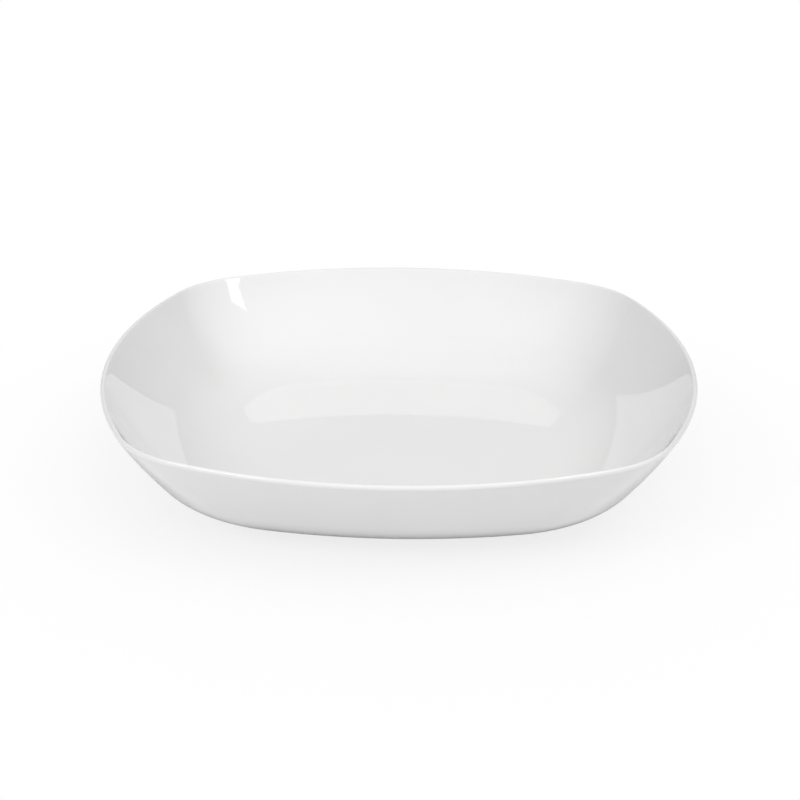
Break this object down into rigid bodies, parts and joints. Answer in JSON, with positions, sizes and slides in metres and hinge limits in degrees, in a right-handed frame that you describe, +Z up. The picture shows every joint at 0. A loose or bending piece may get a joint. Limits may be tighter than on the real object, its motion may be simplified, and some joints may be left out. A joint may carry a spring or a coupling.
{
  "type": "soup plate",
  "caption": "Deep white glazed soup plate of rounded square plan, with flared walls, a thin rounded lip and a low bare foot ring, for serving soup or pasta.",
  "frame": {"origin": "centre of the foot ring, on the plane where it stands on the table", "axes": "+Z up out of the well; X and Y square to the four sides of the rim"},
  "size_m": [0.21, 0.21, 0.0386],
  "materials": {
    "biscuit": "matte",
    "glaze": "gloss"
  },
  "bodies": {
    "root": {"porcelain_body": "biscuit", "glaze_coat": "glaze", "base_glaze": "glaze"}
  },
  "joints": []
}
